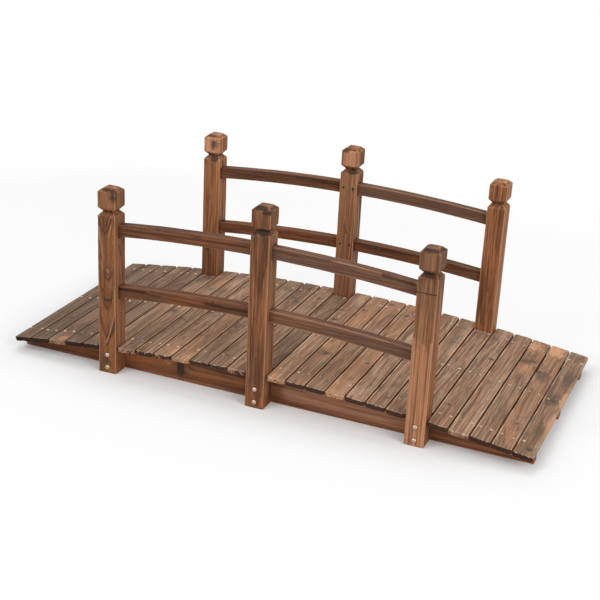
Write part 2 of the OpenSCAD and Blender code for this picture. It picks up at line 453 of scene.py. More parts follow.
class Nodes:
    """Adds shader nodes whose inputs are given as numbers, colours or other nodes' outputs."""

    def __init__(self, owner):
        self.owner = owner
        owner.use_nodes = True
        self.tree = owner.node_tree
        self.tree.nodes.clear()

    def add(self, kind, inputs=(), **settings):
        """The outputs of a new node with its inputs given by place or by name."""
        node = self.tree.nodes.new("ShaderNode" + kind)
        for name, value in settings.items():
            setattr(node, name, value)
        pairs = inputs.items() if isinstance(inputs, dict) else enumerate(inputs)
        for key, value in pairs:
            socket = node.inputs[key]
            if isinstance(value, bpy.types.NodeSocket):
                self.tree.links.new(value, socket)
            else:
                socket.default_value = (*value, 1) if socket.type == "RGBA" else value
        return node.outputs

    def layer(self, name):
        """The three numbers of a layer of the mesh."""
        return self.split(self.vector_layer(name))

    def vector_layer(self, name):
        return self.add("Attribute", attribute_name=name)["Vector"]

    def split(self, vector):
        return self.add("SeparateXYZ", [vector])

    def math(self, operation, *values):
        return self.add("Math", values, operation=operation)[0]

    def vector(self, operation, *values):
        is_number = operation in ("LENGTH", "DOT_PRODUCT")
        return self.add("VectorMath", values, operation=operation)["Value" if is_number else "Vector"]

    def scaled(self, vector, amount):
        return self.add("VectorMath", {"Vector": vector, "Scale": amount}, operation="SCALE")[0]

    def plus(self, base, value, amount):
        """The base with so much of a value added."""
        return self.math("MULTIPLY_ADD", value, amount, base)

    def shaken(self, base, source, amount):
        """The base moved up and down by a noise."""
        return self.plus(base, self.math("SUBTRACT", source, 0.5), amount)

    def noise(self, vector, stretch, detail=2.0, rough=0.5):
        """Noise from 0 to 1 and as a colour, with so many swells a metre along each axis."""
        where = self.vector("MULTIPLY", vector, stretch)
        return self.add("TexNoise", {"Vector": where, "Scale": 1, "Detail": detail, "Roughness": rough})

    def rise(self, value, low, high, most=1.0, least=0.0):
        """Smoothly from least to most while value goes from low to high."""
        inputs = {"Value": value, "From Min": low, "From Max": high, "To Min": least, "To Max": most}
        return self.add("MapRange", inputs, interpolation_type="SMOOTHSTEP")[0]

    def mix(self, factor, first, second):
        return self.add("Mix", {0: factor, 6: first, 7: second}, data_type="RGBA")[2]

    def curve(self, value, stops):
        """A number read off a line through the stops, each a place and a height."""
        output = self.add("ValToRGB", [value])[0]
        elements = output.node.color_ramp.elements
        while len(elements) < len(stops):
            elements.new(0.5)
        for element, (place, height) in zip(elements, stops):
            element.position = place
            element.color = (height, height, height, 1)
        return output

    def surface(self, inputs, height, strength, depth):
        """Ends a material in a shader whose surface stands up by a height."""
        bump = self.add("Bump", {"Strength": strength, "Distance": depth, "Height": height})[0]
        shader = self.add("BsdfPrincipled", inputs | {"Normal": bump})[0]
        self.add("OutputMaterial", [shader])
        return self.owner


# Rings: pale early wood that brushing lowers, then a dark ridge of late wood with a sharp outer side
RING_PROFILE = ((0, 0.2), (0.08, 0), (0.42, 0.05), (0.7, 0.5), (0.86, 1), (0.95, 0.9), (1, 0.2))
# The wood's noises: how far each is moved, its swells a metre across and along, its detail and its roughness
FIR_NOISES = {
    "fibre": ((0, 0, 0), 1100, 18, 2, 0.5),
    "streak": ((0, 0, 0), 230, 4.5, 3, 0.65),
    "broad": ((9, 2, 4), 85, 2.6, 2, 0.5),
    "flame": ((4, 4, 1), 30, 3, 1, 0.5),
    "thread": ((2, 7, 5), 90, 1.4, 1, 0.5),
    "chip": ((1, 6, 2), 130, 40, 2, 0.55),
    "cloud": ((0, 0, 0), 30, 6, 2, 0.5),
    "soot": ((3, 5, 7), 34, 12, 4, 0.6),
    "speck": ((0, 0, 0), 500, 160, 2, 0.6),
    "check": ((6, 1, 8), 620, 9, 1, 0.5),
}
SEED_SHIFT = (0.71, 0.37, 1.13)


def ring_figure(nodes, home, grain, knot, seed, look):
    """How much late wood shows, from the distance to a wandering pith, bent round the knots."""
    bent = grain
    for stretch, amount in (((7, 7, 2.6), look["wander"]), ((60, 60, 12), look["ripple"])):
        swell = nodes.vector("SUBTRACT", nodes.noise(home, stretch, 1)[1], (0.5, 0.5, 0.5))
        bent = nodes.vector("ADD", bent, nodes.scaled(swell, amount))
    from_pith = nodes.vector("LENGTH", nodes.vector("MULTIPLY", bent, (1, 1, 0)))
    near_knot = nodes.math("POWER", 0.8, nodes.vector("DOT_PRODUCT", knot, knot))
    rings = nodes.math("DIVIDE", nodes.plus(from_pith, near_knot, look["swirl"]), look["ring"])
    place = nodes.add("CombineXYZ", [nodes.math("MULTIPLY", rings, 0.4), seed])[0]
    rings = nodes.plus(rings, nodes.noise(place, (1, 1, 1), 1)[0], 1.6)
    place = nodes.add("CombineXYZ", [nodes.math("MULTIPLY", rings, 0.9), nodes.split(home)[2], seed])[0]
    strength = nodes.rise(nodes.noise(place, (1, 3, 1), 1)[0], 0.3, 0.66, 1, 0.4)
    return nodes.math("MULTIPLY", nodes.curve(nodes.math("FRACT", rings), RING_PROFILE), strength)


def fir_material(name, look):
    """Charred and brushed fir: rings, fibres, clouds of soot, knots, worn arrises and charred ends, with
    marks that also lay painted shade and painted highlights.
    """
    nodes = Nodes(bpy.data.materials.new(name))
    rise = nodes.rise
    grain, knot = nodes.vector_layer("grain"), nodes.vector_layer("knot")
    arris, char, _ = nodes.layer("state")
    light, warm, seed = nodes.layer("tone")
    home = nodes.vector("ADD", grain, nodes.scaled(SEED_SHIFT, seed))
    late = ring_figure(nodes, home, grain, knot, seed, look)
    fibre, streak, broad, flame, thread, chip, cloud, soot, speck, check = (
        nodes.noise(nodes.vector("ADD", home, shift), (across, across, along), detail, rough)[0]
        for shift, across, along, detail, rough in FIR_NOISES.values()
    )
    grade = nodes.plus(nodes.plus(nodes.math("MULTIPLY", streak, 0.4), broad, 0.35), flame, 0.25)
    orange = nodes.plus(nodes.math("MULTIPLY", warm, 0.25), cloud, 0.7)
    off_thread = nodes.math("ABSOLUTE", nodes.math("SUBTRACT", thread, 0.5))
    hairline = rise(check, 0.66, 0.72, look["checks"])
    ragged = nodes.shaken(nodes.shaken(nodes.vector("LENGTH", knot), soot, 2.5), speck, 0.7)
    burnt = nodes.shaken(nodes.shaken(nodes.shaken(char, speck, 0.6), soot, 0.6), chip, look["chips"])
    burnt = rise(burnt, 0.38, 0.6, 0.96)
    # Marks are drawn with the streaks, so that their sides fray
    fray = nodes.plus(-0.1, streak, 2.2)
    dark, pale, fire = (
        rise(nodes.math("MULTIPLY", mark, fray), 0, 0.95, 0.88) for mark in nodes.layer("marks")
    )

    # The ground goes from mid to pale, and these shades are laid over it in turn
    colour = nodes.mix(rise(grade, 0.40, 0.60), look["mid"], look["pale"])
    for shade, amount in (
        ("late", rise(broad, 0.47, 0.3, look["broad"])),
        ("grey", rise(warm, -0.3, -1.2, 0.75)),
        ("warm", rise(orange, 0.33, 0.62, 0.8)),
        ("late", nodes.math("MULTIPLY", late, rise(streak, 0.2, 0.75, look["lines"] * 0.6, look["lines"]))),
        ("late", rise(fibre, 0.38, 0.68, look["fibre"])),
        ("late", rise(off_thread, 0.022, 0.006, look["threads"])),
        ("char", hairline),
        ("soot", rise(soot, look["soot_from"], look["soot_from"] + 0.13, look["soot_most"])),
        # Round the knots
        ("soot", rise(ragged, 2.8, 0.9, 0.5)),
        ("knot", rise(ragged, 1.3, 0.6, 0.7)),
        ("char", rise(ragged, 0.6, 0, 0.4)),
        # Arrises are rubbed pale
        ("edge", rise(nodes.shaken(arris, streak, 0.006), look["wear_width"], 0.0002, look["wear"])),
        ("fire", fire),
        # Pale marks come in the edge colour and dark marks in the stain colour; these are partly painted
        # highlight and light, and partly painted shade round the posts' mortises and bolts
        ("edge", pale),
        ("stain_and_shade", dark),
        # The ends are charred, what lies deep in the posts' mortises and holes is painted black as shade, and
        # below 0 is a side in a gap, charred and darkened with painted shade
        ("side", rise(char, -0.2, -0.8, 0.95)),
        ("char", burnt),
    ):
        colour = nodes.mix(amount, colour, look[shade])

    rough = nodes.plus(nodes.plus(nodes.plus(look["rough"], fibre, 0.22), late, -0.08), burnt, 0.15)
    height = nodes.plus(nodes.math("MULTIPLY", fibre, 0.5), late, 0.5)
    height = nodes.plus(nodes.plus(height, streak, 0.5), hairline, -0.9)
    height = nodes.plus(height, nodes.math("MULTIPLY", burnt, speck), 0.9)
    colour = nodes.scaled(colour, nodes.math("ADD", 1.0, light))
    inputs = {"Base Color": colour, "Roughness": rough, "Specular IOR Level": 0.12}
    return nodes.surface(inputs, height, look["bump"], 0.0006)


FIR = dict(
    wander=0.024, ripple=0.0026, swirl=0.011, ring=0.0048, lines=0.6, broad=0.3, threads=0.35, fibre=0.35,
    chips=0.9, checks=0.6, soot_from=0.56, soot_most=0.6, wear=0.7, wear_width=0.0034, rough=0.52, bump=0.6,
    # side: the boards' sides in the gaps, a char red-brown that also paints the shade there and the warm
    # light bounced between the boards
    char=(0.022, 0.011, 0.007), side=(0.1, 0.038, 0.017), knot=(0.08, 0.05, 0.036),
    soot=(0.12, 0.095, 0.078),
)
DECK_FIR = FIR | dict(
    mid=(0.256, 0.146, 0.086), pale=(0.522, 0.33, 0.213), warm=(0.46, 0.24, 0.13),
    grey=(0.188, 0.138, 0.101), fire=(0.64, 0.34, 0.185), stain_and_shade=(0.1, 0.072, 0.053),
    late=(0.108, 0.053, 0.028), edge=(0.64, 0.42, 0.28), char=(0.034, 0.016, 0.01),
    lines=0.78, threads=0.65, fibre=0.52, chips=1.5, wear=0.6, wear_width=0.0026,
)
POST_FIR = FIR | dict(
    mid=(0.142, 0.052, 0.021), pale=(0.378, 0.164, 0.072), warm=(0.345, 0.13, 0.051),
    grey=(0.1, 0.058, 0.042), fire=(0.4, 0.138, 0.052), stain_and_shade=(0.042, 0.025, 0.018),
    late=(0.064, 0.024, 0.011), edge=(0.45, 0.225, 0.12), soot=(0.08, 0.048, 0.034),
    lines=0.85, fibre=0.55, ring=0.0085,
)
RAIL_FIR = POST_FIR | dict(
    mid=(0.108, 0.042, 0.019), pale=(0.27, 0.116, 0.056), warm=(0.3, 0.106, 0.042),
    fire=(0.3, 0.106, 0.042), stain_and_shade=(0.035, 0.015, 0.01), late=(0.045, 0.018, 0.01),
    edge=(0.35, 0.175, 0.1), lines=0.7, soot_most=0.7, wear=0.55, ring=0.0062,
)
STRINGER_FIR = POST_FIR | dict(
    mid=(0.13, 0.049, 0.022), pale=(0.285, 0.117, 0.056), warm=(0.32, 0.118, 0.048),
    fire=(0.36, 0.125, 0.045), late=(0.062, 0.024, 0.012), edge=(0.4, 0.205, 0.125),
    lines=0.6, broad=0.4, fibre=0.45, soot_most=0.35, wear=0.3,
)


def metal_material(name, base, patch, rough):
    """Plated steel with duller patches, more of them where the mesh is tinted, and fine scratches."""
    nodes = Nodes(bpy.data.materials.new(name))
    where = nodes.add("TexCoord")["Object"]
    blotch = nodes.math("ADD", nodes.noise(where, (45, 45, 45), 3, 0.75)[0], nodes.layer("tint")[0])
    scratch = nodes.noise(where, (1800, 500, 1800))[0]
    colour = nodes.mix(nodes.rise(blotch, 0.40, 0.62), base, patch)
    inputs = {"Base Color": colour, "Metallic": 1, "Roughness": nodes.plus(rough, blotch, 0.25)}
    return nodes.surface(inputs, scratch, 0.15, 0.0002)


# Axes: a bar's u, v and w as columns of the bridge's axes
ALONG_X = Matrix(((0, 0, 1, 0), (1, 0, 0, 0), (0, 1, 0, 0), (0, 0, 0, 1)))
ALONG_Y = Matrix(((1, 0, 0, 0), (0, 0, -1, 0), (0, 1, 0, 0), (0, 0, 0, 1)))


# Deck boards


def arc_run(x):
    """Length of the deck's arc from its middle to x."""
    return DECK_RADIUS * math.asin(x / DECK_RADIUS)


STATION_HALF = POST_HALF + POST_BOARD_CLEARANCE
POST_RUN = arc_run(POST_SPACING)
BAY_PITCH = (POST_RUN - 2 * STATION_HALF + BOARD_GAP) / BOARDS_PER_BAY
BEYOND_PITCH = (arc_run(HALF_LENGTH) - POST_RUN - STATION_HALF + BOARD_GAP) / BOARDS_BEYOND
POST_STEP = BOARDS_PER_BAY + 1
MIDDLE_BOARD = BOARDS_BEYOND + BOARDS_PER_BAY + 2
BOARD_COUNT = 2 * MIDDLE_BOARD - 1
BOARD_EASE = 0.0038
BOARD_SWELL = 0.0001  # how far a board's sides stand out into the gaps
END_EASE = 0.0008
END_STEPS = (0.0016, 0.0032, 0.0055, 0.009, 0.014, 0.022)
BOARD_STEP = 0.011

# Swells a metre of the noises at a board's ends: across, through it, and a number that parts its two ends
SAW_SWELLS = (210, 90, 9.5)
FINE_SWELLS = (520, 330, 7.5)
TEAR_SWELLS = (75, 20, 3.5)
CHIP_SWELLS = (130, 70, 5.5)
# How far these cut an end back, and how far along the board this reaches
SAW_DEPTH = 0.0004
FINE_DEPTH = 0.0003
TEAR_DEPTH = 0.0042
CORNER_DEPTH = 0.0034
CORNER_WIDTH = 0.009
TEAR_REACH = 0.007
TEAR_SINK = 0.0006
SKEW_REACH = 0.12
WANDER = 0.0003

# Where char begins and is whole, from an end and from a side; and how much of it the top of an end, a bare
# side and the underside have. On the sides in the gaps this dark is char and also painted shade between the
# boards; a bare side, out of the gaps, has less of it
END_CHAR_REACH = (0.0014, 0.0002)
SIDE_CHAR_AND_SHADE_REACH = (0.0024, 0.0008)
END_TOP_CHAR = 0.55
BARE_SIDE_CHAR_AND_SHADE = 0.4
UNDERSIDE_CHAR = 0.12
# Pale rims, partly wear and partly painted highlight on the left top arrises: their distance from a board's
# side, their width, and how strong they are on its two sides
RIM_PLACE = 0.0026
RIM_WIDTH = (0.0008, 0.0028)
LEFT_RIMS = (0.5, 0.3)
RIGHT_RIMS = (0.85, 0.4)
CHIP_REACH = (0.0045, 0.0015)
TOP_REACH = (-0.005, -0.003)  # heights on a board's sides, below which it has no rims and no chips

# How boards differ from their neighbours, counted from the left end
NEAR_CHAR = {
    3: 0.3, 6: 0.6, 7: 0.4, 8: 0.75, 9: 0.6, 10: 0.25, 11: 0.8, 12: 0.7, 13: 0.5, 15: 0.35, 18: 0.3, 24: 0.3,
}
FAR_CHAR = {9: 0.2, 16: 0.2, 21: 0.2, 25: 0.2, 26: 0.3}
BOARD_LIGHTS = {
    1: -0.44, 2: -0.44, 3: -0.31, 4: -0.41, 5: -0.37, 14: -0.28, 15: 0.08, 16: 0.1, 17: 0.08, 18: 0.08,
    19: 0.17, 20: 0.15, 21: 0.02, 24: -0.05, 25: -0.05, 26: -0.05, 27: -0.13,
}
GREY_BOARDS = {8, 11, 14, 27}
WARM_NEAR_ENDS = {3, 9, 10, 13, 15, 18, 26, 27}
WARM_FAR_ENDS = {4, 16, 17, 18, 25, 26}
# Larger knots: across and along the board from its middle, and their size, in millimetres
BOARD_KNOTS = {
    1: ((-26, 262, 6), (-24, 115, 5)), 2: ((0, 164, 5),), 4: ((-9, -199, 6), (-16, 275, 4)),
    6: ((-10, -228, 7),), 7: ((-15, 28, 7), (9, -170, 4)),
    8: ((-21, 76, 5), (6, 92, 4.5), (-14, 141, 3), (-22, 186, 3.5)), 9: ((-18, 98, 3), (-17, 4, 7)),
    10: ((-20, 168, 4),), 11: ((-17, 71, 7),),
    12: ((-4, 260, 4), (5, -292, 5), (-12, -204, 4.5), (10, -179, 5)), 13: ((-14, 263, 3), (5, -232, 4.5)),
    15: ((-15, -185, 5), (-9, -109, 6)), 16: ((-14, -215, 5.5), (1, 117, 5.5)),
    17: ((-10, -300, 6), (25, -84, 4), (25, 70, 4), (-23, -85, 3)), 18: ((-2, -246, 6), (11, 116, 4)),
    20: ((8, -30, 5),), 21: ((-12, 150, 4),), 23: ((14, -120, 5), (-6, 210, 4)), 25: ((9, -189, 6),),
    26: ((-18, -137, 7), (4, 190, 5)), 27: ((-2, 2, 7), (6, 296, 5)),
}
# Patches of other colour: board, across, along, width and length in millimetres, and strength
BOARD_PATCHES = {
    "dark": (
        (2, 23, 262, 25, 60, 0.35), (2, 6, 183, 25, 70, 0.3), (4, -8, 258, 20, 60, 0.4),
        (5, 0, 57, 20, 80, 0.3), (6, 2, -264, 26, 50, 0.6), (7, 23, 170, 7, 14, 0.5),
        (8, -24, 77, 9, 16, 0.6), (9, 22, 173, 7, 12, 0.5), (9, -19, 11, 12, 30, 0.6),
        (11, -22, 56, 12, 22, 0.5), (13, -13, -105, 20, 120, 0.3), (14, -8, 100, 22, 120, 0.4),
        (16, -8, 124, 16, 22, 0.5), (18, 2, 225, 12, 20, 0.4), (20, 9, 193, 20, 26, 0.5),
        (21, -9, -268, 30, 12, 0.5), (22, 0, -262, 30, 14, 0.4), (25, -13, -176, 22, 20, 0.9),
        (26, -4, -117, 22, 45, 0.8), (27, 6, 199, 20, 50, 0.6), (27, -2, -3, 20, 45, 0.8),
        (27, 4, -161, 20, 90, 0.7), (27, 0, -300, 40, 30, 0.5),
    ),
    "pale": (
        (4, -17, -198, 20, 60, 0.4), (4, -17, -277, 20, 60, 0.5), (8, 1, -245, 20, 60, 0.5),
        (15, 8, -285, 20, 60, 0.4), (17, 12, -101, 20, 50, 0.3), (19, -9, 154, 16, 40, 0.4),
        (22, 0, -282, 60, 4, 0.9), (23, 6, -302, 20, 60, 0.4),
    ),
    "fire": (
        (3, 14, 314, 18, 24, 0.9), (5, 13, -270, 20, 50, 0.4), (7, 14, -219, 20, 60, 0.4),
        (9, 22, 302, 14, 34, 0.6), (10, 13, 318, 14, 34, 0.7), (10, -19, 13, 16, 50, 0.4),
        (14, 18, 76, 14, 40, 0.3), (15, -10, 318, 20, 20, 0.5), (16, -16, 68, 20, 30, 0.4),
        (18, -12, 322, 20, 16, 0.5), (25, -4, -131, 18, 50, 0.6), (25, -10, -290, 22, 50, 0.9),
        (26, -8, -305, 30, 45, 1.1), (27, 24, 120, 9, 110, 0.8), (27, 23, -20, 9, 70, 0.9),
    ),
}


def board_layout(number):
    """A board's turn about the arch's centre, its width and its length."""
    step = abs(number - MIDDLE_BOARD)
    length = 2 * (HALF_WIDTH - BOARD_SETBACK)
    if step in (0, POST_STEP):
        width = 2 * (STATION_HALF - BOARD_GAP)
        run = POST_RUN if step else 0
        length = 2 * (HALF_WIDTH - POST_SIZE - SHORT_BOARD_CLEARANCE)
    elif step < POST_STEP:
        width = BAY_PITCH - BOARD_GAP
        run = STATION_HALF + (step - 1) * BAY_PITCH + width / 2
    else:
        width = BEYOND_PITCH - BOARD_GAP
        run = POST_RUN + STATION_HALF + (step - POST_STEP - 1) * BEYOND_PITCH + width / 2
    return math.copysign(run / DECK_RADIUS, number - MIDDLE_BOARD), width, length


def board_place(turn):
    """Where a board's own axes lie, with the middle of its top at their origin."""
    centre = Matrix.Translation((0, 0, DECK_MID_HEIGHT - DECK_RADIUS))
    lift = Matrix.Translation((0, 0, DECK_RADIUS))
    return centre @ Matrix.Rotation(turn, 4, "Y") @ lift @ ALONG_Y


def board_stations(width, length):
    """Stations along a board, close together at its torn ends."""
    half = length / 2
    outer = [half - END_EASE - step for step in END_STEPS]
    inner = outer[-1] - BOARD_STEP
    middle = np.linspace(-inner, inner, round(2 * inner / BOARD_STEP))

    def section(along, drawn):
        halves = (width / 2 + BOARD_SWELL - drawn, BOARD_THICKNESS / 2 - drawn)
        return (*halves, 0, -BOARD_THICKNESS / 2, BOARD_EASE)

    places = [*(-along for along in outer), *middle, *reversed(outer)]
    return bar_stations(-half, half, END_EASE, places, section)


def depth_share(v):
    """How deep a point of a board lies, from 0 at its top to 1 at its bottom."""
    return np.clip(-v / BOARD_THICKNESS, 0, 1)


def tear_ends(bar, width, length, shape):
    """Skews a board's ends, rounds their corners and tears wood out of them, most along the bottom."""
    u, v, w = bar.points.T
    side = np.sign(w)
    ends = np.stack([u, v, side], 1)
    low = depth_share(v)
    saw = noise(ends * SAW_SWELLS, bar.seed)
    fine = noise(ends * FINE_SWELLS, bar.seed + 5)
    torn = ramp(noise(ends * TEAR_SWELLS, bar.seed + 9), 0.05, 0.7) * low**1.5
    corner = near_edge(u, width, CORNER_WIDTH) ** 2 * (1 + 0.5 * saw)
    cut = SAW_DEPTH * (1 + saw) + FINE_DEPTH * (1 + fine) + TEAR_DEPTH * torn + CORNER_DEPTH * corner
    shift, skew = (np.where(side > 0, *shape[kind]) for kind in ("shift", "skew"))
    fade = np.exp((np.abs(w) - length / 2) / TEAR_REACH)
    bar.points[:, 2] -= side * fade * cut
    bar.points[:, 2] += side * near_edge(w, length, SKEW_REACH) * (shift + skew * u)
    bar.points[:, 1] -= fade * torn * TEAR_SINK * (1 - low)


def cup_board(bar, width, length, shape):
    """Cups and twists a board by fractions of a millimetre, and lets its edges wander."""
    u, v, w = bar.points.T
    across = u / (width / 2)
    bar.points[:, 1] += shape["cup"] * (across**2 - 0.5) + shape["twist"] * across * w / length
    bar.points[:, 0] += WANDER * noise(np.stack([np.sign(u) * 4, w * 6, w * 0], 1), bar.seed + 20)


def board_char_and_shade(points, number, near, far, width, length):
    """How charred a board is at its end faces, by how each end came out; and its sides in the gaps, charred
    and darkened with painted shade between the boards.
    """
    u, v, w = points.T
    low = depth_share(v)
    at_end = near_edge(w, length, *END_CHAR_REACH)
    strength = np.where(w > 0, near, far) * (END_TOP_CHAR + (1 - END_TOP_CHAR) * ramp(low, 0.04, 0.2))
    # The sides in the gaps are darkened: char, and painted shade between the boards
    side = near_edge(u, width, *SIDE_CHAR_AND_SHADE_REACH) * ramp(low, 0.03, 0.12)
    bare_side = (number == BOARD_COUNT) - (number == 1)
    side = np.where(np.sign(u) == bare_side, BARE_SIDE_CHAR_AND_SHADE, 1) * side
    below = UNDERSIDE_CHAR * ramp(low, 0.9, 1)
    return np.where(at_end > 0.3, strength * at_end, below - side)


def board_marks(points, number, width, length):
    """A board's patches, its pale top arrises, partly wear and partly painted highlight, and the chips of
    bare wood at its ends, with a pale rim along each near end that is partly painted highlight.
    """
    layers = np.zeros((len(points), 3))
    u, v, w = points.T
    for kind, patches in BOARD_PATCHES.items():
        for owner, across, along, wide, long, strength in patches:
            if owner == number:
                add_patch(layers, points, kind, (across, 0, along), (wide, 1000, long), strength)
    # Pale rims on the top arrises, strongest on the left side: partly wear and partly painted highlight
    uneven = 0.55 + 0.6 * noise(np.stack([w * 30, w * 0, w * 0], 1), 100 + number)
    strengths = RIGHT_RIMS if number > MIDDLE_BOARD else LEFT_RIMS
    from_rim = np.abs(np.abs(u) - width / 2 + RIM_PLACE)
    rim = np.where(u < 0, *strengths) * uneven * (1 - ramp(from_rim, *RIM_WIDTH))
    chips = ramp(noise(np.stack([u, v, np.sign(w)], 1) * CHIP_SWELLS, 200 + number), -0.1, 0.4)
    # Each near end's top arris is kept at least a little pale, which is partly painted highlight
    chips = near_edge(w, length, *CHIP_REACH) * np.maximum(0.65 * chips, 0.3 * (w > 0))
    raise_layer(layers, "pale", ramp(v, *TOP_REACH) * np.maximum(rim, chips))
    return layers


def board_tone(number, draw):
    """How light and how warm a board is at its far and near ends."""
    light = draw.uniform(-0.06, 0.06) + BOARD_LIGHTS.get(number, 0)
    warm = draw.uniform(-0.35, 0.3) - 0.45 * (number in GREY_BOARDS)
    far = warm + (number in WARM_FAR_ENDS)
    near = warm + 0.7 * (number in WARM_NEAR_ENDS)
    return (light + draw.uniform(-0.04, 0.1), light + draw.uniform(-0.06, 0.06)), (far, near)


def drawn_pair(draw, low, high):
    """Two random numbers."""
    return draw.uniform(low, high), draw.uniform(low, high)


def add_board(number, material):
    """One weathered deck board."""
    draw = random.Random(1000 + number)
    turn, width, length = board_layout(number)
    bar = Bar(board_stations(width, length), (22, 0.07), (3, 0.2), 100 * number, 0.12)
    bar.sway(0.00018, 60)
    shape = {
        "shift": drawn_pair(draw, -0.0022, 0.0008),
        "skew": drawn_pair(draw, -0.03, 0.03),
        "cup": draw.uniform(-0.0004, 0.0004),
        "twist": draw.uniform(-0.0006, 0.0006),
    }
    cup_board(bar, width, length, shape)
    tear_ends(bar, width, length, shape)
    near = NEAR_CHAR.get(number, draw.uniform(0.95, 1.2))
    far = FAR_CHAR.get(number, draw.uniform(0.5, 1.1))
    light, warm = board_tone(number, draw)
    depth = draw.choice((-1, -1, 1)) * draw.uniform(0.025, 0.075)
    wood = {
        "pith": (draw.uniform(-0.035, 0.035), depth, draw.uniform(-0.02, 0.02), draw.uniform(-0.04, 0.04)),
        "knots": through_knots(BOARD_KNOTS.get(number, ()), 1.25, 1),
        "char": board_char_and_shade(bar.planned, number, near, far, width, length),
        "marks": board_marks(bar.planned, number, width, length),
        "light": light,
        "warm": warm,
        "seed": number + draw.random(),
    }
    name = f"board_{number:02d}"
    add_wood(name, f"deck_{name}", material, bar, board_place(turn), wood)


# Stringers

STRINGER_EASE = 0.0011
STRINGER_STEP = 0.006
STRINGER_KNOTS = (
    (0, (0, 0.058, -0.246), (1, 0.022, 0.0055)),
    (0, (0, 0.040, 0.62), (1, 0.006, 0.006)),
    (0, (0, 0.030, 0.17), (1, 0.004, 0.004)),
)


END_CHAR_FADE = 0.0015


def end_char(bar, strength):
    """Char on a bar's end faces alone."""
    w = bar.planned[:, 2]
    from_end = np.minimum(w - w.min(), w.max() - w)
    return strength * np.exp(-from_end / END_CHAR_FADE)


def stringer_stations():
    """Stations along a stringer, whose top is the arch that the boards lie on."""
    half = HALF_LENGTH - STRINGER_SETBACK
    inner = half - STRINGER_STEP

    def section(along, drawn):
        top = arc_height(DECK_RADIUS - BOARD_THICKNESS, DECK_MID_HEIGHT - BOARD_THICKNESS, along)
        return STRINGER_THICKNESS / 2 - drawn, top / 2 - drawn, 0, top / 2, STRINGER_EASE

    places = np.linspace(-inner, inner, round(2 * inner / STRINGER_STEP))
    return bar_stations(-half, half, STRINGER_EASE, places, section)


def add_stringer(name, material):
    """One stringer: flat foot, plumb ends and an arched top."""
    row = STRINGER_ROWS[name]
    seed = 5000 + 100 * row
    draw = random.Random(seed)
    bar = Bar(stringer_stations(), (4, 0.1), (15, 0.06), seed)
    bar.sway(0.00015, 50)
    bar.points[:, 1] = np.maximum(bar.points[:, 1], 0)
    node = f"stringer_{name}"
    wood = {
        "pith": (0.045, 0.02 + draw.uniform(-0.01, 0.02), 0.008, draw.uniform(-0.012, 0.012)),
        "knots": STRINGER_KNOTS,
        "char": end_char(bar, 0.35),
        "marks": stroked(bar.planned, STRINGER_THICKNESS / 2, node),
        "light": (-0.16, 0.50),
        "warm": (0.6, -0.1),
        "seed": seed / 100,
    }
    place = Matrix.Translation((0, row * STRINGER_Y, 0)) @ ALONG_X
    add_wood(f"{node}_wood", node, material, bar, place, wood)


# Turned shapes


def lathed(profile, sides, edge=None):
    """Points and faces turned from a profile of (radius, height) in millimetres, from the top down."""
    rows = [(0, 0, profile[0][1])]
    for radius, height in profile[1:-1]:
        for step in range(sides):
            angle = 2 * math.pi * step / sides
            out = min(radius, edge(angle)) if edge else radius
            rows.append((out * math.cos(angle), out * math.sin(angle), height))
    rows.append((0, 0, profile[-1][1]))
    faces = []
    last = len(rows) - 1
    for step in range(sides):
        following = (step + 1) % sides
        faces.append((0, 1 + step, 1 + following))
        for ring in range(len(profile) - 3):
            a, b = 1 + ring * sides + step, 1 + ring * sides + following
            faces.append((a, a + sides, b + sides, b))
        start = 1 + (len(profile) - 3) * sides
        faces.append((last, start + following, start + step))
    return np.array(rows) / 1000, faces


def placed(shape, matrix, *turns):
    """A shape's points moved by a matrix, after turns by an angle about one of its own axes."""
    points, faces = shape
    for angle, axis in turns:
        matrix = matrix @ Matrix.Rotation(angle, 4, axis)
    return points @ np.array(matrix.to_3x3()).T + np.array(matrix.translation), faces


def joined(shapes):
    """Points and faces of several shapes as one."""
    points, faces, count = [], [], 0
    for part_points, part_faces in shapes:
        points.append(part_points)
        faces += [tuple(int(corner) + count for corner in face) for face in part_faces]
        count += len(part_points)
    return np.concatenate(points), faces


# Posts

POST_EASE = 0.0016
POST_STEP_LENGTH = 0.003
PROFILE_EASE = 0.0014
FOOT_EASE = 0.0004
FOOT_BEVEL = 0.001
TOP_STATION_INSET = 0.004  # of the last station, from the edge of the flat top
MORTISE_CLEARANCE = 0.0007
MORTISE_SLACK = 0.4  # share of the post's half size at which the mortise's height is taken off the rail
SCREW_HOLE_RADIUS = 0.0025
SCREW_HOLE_DEPTH = 0.0045
SCREW_HOLE_OFFSET = 0.0145
SCREW_HOLE_DROP = 0.0139
DRILL_LENGTH = 0.012
HOLE_SIDES = 16
UPPER_HOLE_DEPTH = 0.004
UPPER_HOLE_LIFT = 0.009
UPPER_HOLE_SHARE = 0.85  # of the other holes' radius

# Where a post's char and marks begin and are whole, from a line, a surface or an edge
NECK_SOOT = (0, 0.004)
NECK_LINE = (0.0095, 0.0114)
# Below this depth, in the mortises, holes and under the foot, the wood is painted black as shade
DEEP_SHADE = 0.0022
# JOINT_REACH and MORTISE_RIM place painted shade round the rails' mortises
JOINT_REACH = (0.004, 0.001)
MORTISE_RIM = (0.001, 0.0036)
HOLE_RIM = (0.0026, 0.0042)
# BOLT_RIM places a ring of painted shadow round each bolt head
BOLT_RIM = (0.0068, 0.0100)
# ARRIS_RIM: pale rims round the head and neck, partly wear and partly painted highlight
ARRIS_RIM = (0.0006, 0.0026)

